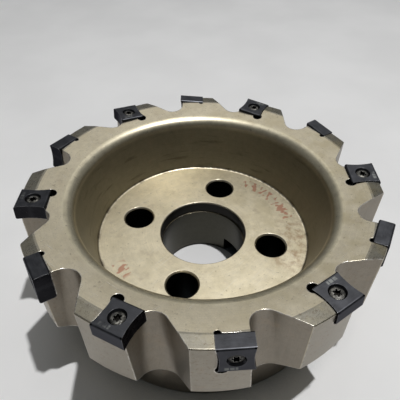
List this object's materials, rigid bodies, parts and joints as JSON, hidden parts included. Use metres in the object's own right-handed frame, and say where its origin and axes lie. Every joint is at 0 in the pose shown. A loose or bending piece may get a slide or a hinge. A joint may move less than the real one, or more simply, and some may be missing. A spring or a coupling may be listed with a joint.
{
  "type": "face mill",
  "caption": "Indexable face mill body with a deep front recess, tangentially clamped square inserts held by countersunk screws, and a bore with bolt circle and drive slot.",
  "frame": {"origin": "centre of the bore in the rear mounting face", "axes": "+Z along the bore towards the cutting face; the first tooth's cutting corner is 78 degrees clockwise of +X, seen from the cutting face"},
  "size_m": [0.1583, 0.1591, 0.063],
  "materials": {
    "plated_steel": "satin nickel plating over turned and milled steel",
    "coated_carbide": "dark blue-grey vapour coating on cemented carbide",
    "screw_steel": "plain bright steel"
  },
  "bodies": {
    "cutter_body": {"cutter_body": "plated_steel"},
    "insert_01": {"insert_01": "coated_carbide"},
    "insert_screw_01": {"insert_screw_01": "screw_steel"},
    "insert_02": {"insert_02": "coated_carbide"},
    "insert_screw_02": {"insert_screw_02": "screw_steel"},
    "insert_03": {"insert_03": "coated_carbide"},
    "insert_screw_03": {"insert_screw_03": "screw_steel"},
    "insert_04": {"insert_04": "coated_carbide"},
    "insert_screw_04": {"insert_screw_04": "screw_steel"},
    "insert_05": {"insert_05": "coated_carbide"},
    "insert_screw_05": {"insert_screw_05": "screw_steel"},
    "insert_06": {"insert_06": "coated_carbide"},
    "insert_screw_06": {"insert_screw_06": "screw_steel"},
    "insert_07": {"insert_07": "coated_carbide"},
    "insert_screw_07": {"insert_screw_07": "screw_steel"},
    "insert_08": {"insert_08": "coated_carbide"},
    "insert_screw_08": {"insert_screw_08": "screw_steel"},
    "insert_09": {"insert_09": "coated_carbide"},
    "insert_screw_09": {"insert_screw_09": "screw_steel"},
    "insert_10": {"insert_10": "coated_carbide"},
    "insert_screw_10": {"insert_screw_10": "screw_steel"},
    "insert_11": {"insert_11": "coated_carbide"},
    "insert_screw_11": {"insert_screw_11": "screw_steel"},
    "insert_12": {"insert_12": "coated_carbide"},
    "insert_screw_12": {"insert_screw_12": "screw_steel"}
  },
  "joints": [
    {"name": "insert_01_lift", "type": "slide", "parent": "cutter_body", "child": "insert_01", "axis": [0.0538, -0.9972, 0.0522], "range_m": [0, 0.007]},
    {"name": "insert_screw_01_turn", "type": "hinge", "parent": "insert_01", "child": "insert_screw_01", "pos_m": [0.01118, -0.07883, 0.05623], "axis": [0.0538, -0.9972, 0.0522], "range_deg": [0, 3600]},
    {"name": "insert_02_lift", "type": "slide", "parent": "cutter_body", "child": "insert_02", "axis": [-0.087, 0.004, 0.9962], "range_m": [0, 0.007]},
    {"name": "insert_screw_02_turn", "type": "hinge", "parent": "insert_02", "child": "insert_screw_02", "pos_m": [0.04608, -0.05654, 0.06223], "axis": [-0.087, 0.004, 0.9962], "range_deg": [0, 3600]},
    {"name": "insert_03_lift", "type": "slide", "parent": "cutter_body", "child": "insert_03", "axis": [0.8905, -0.452, 0.0522], "range_m": [0, 0.007]},
    {"name": "insert_screw_03_turn", "type": "hinge", "parent": "insert_03", "child": "insert_screw_03", "pos_m": [0.07386, -0.02974, 0.05623], "axis": [0.8905, -0.452, 0.0522], "range_deg": [0, 3600]},
    {"name": "insert_04_lift", "type": "slide", "parent": "cutter_body", "child": "insert_04", "axis": [-0.0494, -0.0718, 0.9962], "range_m": [0, 0.007]},
    {"name": "insert_screw_04_turn", "type": "hinge", "parent": "insert_04", "child": "insert_screw_04", "pos_m": [0.07235, 0.00924, 0.06223], "axis": [-0.0494, -0.0718, 0.9962], "range_deg": [0, 3600]},
    {"name": "insert_05_lift", "type": "slide", "parent": "cutter_body", "child": "insert_05", "axis": [0.8367, 0.5452, 0.0522], "range_m": [0, 0.007]},
    {"name": "insert_screw_05_turn", "type": "hinge", "parent": "insert_05", "child": "insert_screw_05", "pos_m": [0.06268, 0.0491, 0.05623], "axis": [0.8367, 0.5452, 0.0522], "range_deg": [0, 3600]},
    {"name": "insert_06_lift", "type": "slide", "parent": "cutter_body", "child": "insert_06", "axis": [0.0383, -0.0783, 0.9962], "range_m": [0, 0.007]},
    {"name": "insert_screw_06_turn", "type": "hinge", "parent": "insert_06", "child": "insert_screw_06", "pos_m": [0.02747, 0.06757, 0.06223], "axis": [0.0383, -0.0783, 0.9962], "range_deg": [0, 3600]},
    {"name": "insert_07_lift", "type": "slide", "parent": "cutter_body", "child": "insert_07", "axis": [-0.0155, 0.9985, 0.0522], "range_m": [0, 0.007]},
    {"name": "insert_screw_07_turn", "type": "hinge", "parent": "insert_07", "child": "insert_screw_07", "pos_m": [-0.00814, 0.07921, 0.05623], "axis": [-0.0155, 0.9985, 0.0522], "range_deg": [0, 3600]},
    {"name": "insert_08_lift", "type": "slide", "parent": "cutter_body", "child": "insert_08", "axis": [0.0865, -0.0105, 0.9962], "range_m": [0, 0.007]},
    {"name": "insert_screw_08_turn", "type": "hinge", "parent": "insert_08", "child": "insert_screw_08", "pos_m": [-0.04171, 0.05984, 0.06223], "axis": [0.0865, -0.0105, 0.9962], "range_deg": [0, 3600]},
    {"name": "insert_09_lift", "type": "slide", "parent": "cutter_body", "child": "insert_09", "axis": [-0.8784, 0.4751, 0.0522], "range_m": [0, 0.007]},
    {"name": "insert_screw_09_turn", "type": "hinge", "parent": "insert_09", "child": "insert_screw_09", "pos_m": [-0.07306, 0.03166, 0.05623], "axis": [-0.8784, 0.4751, 0.0522], "range_deg": [0, 3600]},
    {"name": "insert_10_lift", "type": "slide", "parent": "cutter_body", "child": "insert_10", "axis": [0.047, 0.0734, 0.9962], "range_m": [0, 0.007]},
    {"name": "insert_screw_10_turn", "type": "hinge", "parent": "insert_10", "child": "insert_screw_10", "pos_m": [-0.072, -0.01163, 0.06223], "axis": [0.047, 0.0734, 0.9962], "range_deg": [0, 3600]},
    {"name": "insert_11_lift", "type": "slide", "parent": "cutter_body", "child": "insert_11", "axis": [-0.8299, -0.5554, 0.0522], "range_m": [0, 0.007]},
    {"name": "insert_screw_11_turn", "type": "hinge", "parent": "insert_11", "child": "insert_screw_11", "pos_m": [-0.06208, -0.04986, 0.05623], "axis": [-0.8299, -0.5554, 0.0522], "range_deg": [0, 3600]},
    {"name": "insert_12_lift", "type": "slide", "parent": "cutter_body", "child": "insert_12", "axis": [-0.0387, 0.0781, 0.9962], "range_m": [0, 0.007]},
    {"name": "insert_screw_12_turn", "type": "hinge", "parent": "insert_12", "child": "insert_screw_12", "pos_m": [-0.02711, -0.06771, 0.06223], "axis": [-0.0387, 0.0781, 0.9962], "range_deg": [0, 3600]}
  ],
  "couplings": [
    {"joint": "insert_screw_01_turn", "follows": "insert_01_lift", "rad_per_m": 8976},
    {"joint": "insert_screw_02_turn", "follows": "insert_02_lift", "rad_per_m": 8976},
    {"joint": "insert_screw_03_turn", "follows": "insert_03_lift", "rad_per_m": 8976},
    {"joint": "insert_screw_04_turn", "follows": "insert_04_lift", "rad_per_m": 8976},
    {"joint": "insert_screw_05_turn", "follows": "insert_05_lift", "rad_per_m": 8976},
    {"joint": "insert_screw_06_turn", "follows": "insert_06_lift", "rad_per_m": 8976},
    {"joint": "insert_screw_07_turn", "follows": "insert_07_lift", "rad_per_m": 8976},
    {"joint": "insert_screw_08_turn", "follows": "insert_08_lift", "rad_per_m": 8976},
    {"joint": "insert_screw_09_turn", "follows": "insert_09_lift", "rad_per_m": 8976},
    {"joint": "insert_screw_10_turn", "follows": "insert_10_lift", "rad_per_m": 8976},
    {"joint": "insert_screw_11_turn", "follows": "insert_11_lift", "rad_per_m": 8976},
    {"joint": "insert_screw_12_turn", "follows": "insert_12_lift", "rad_per_m": 8976}
  ]
}
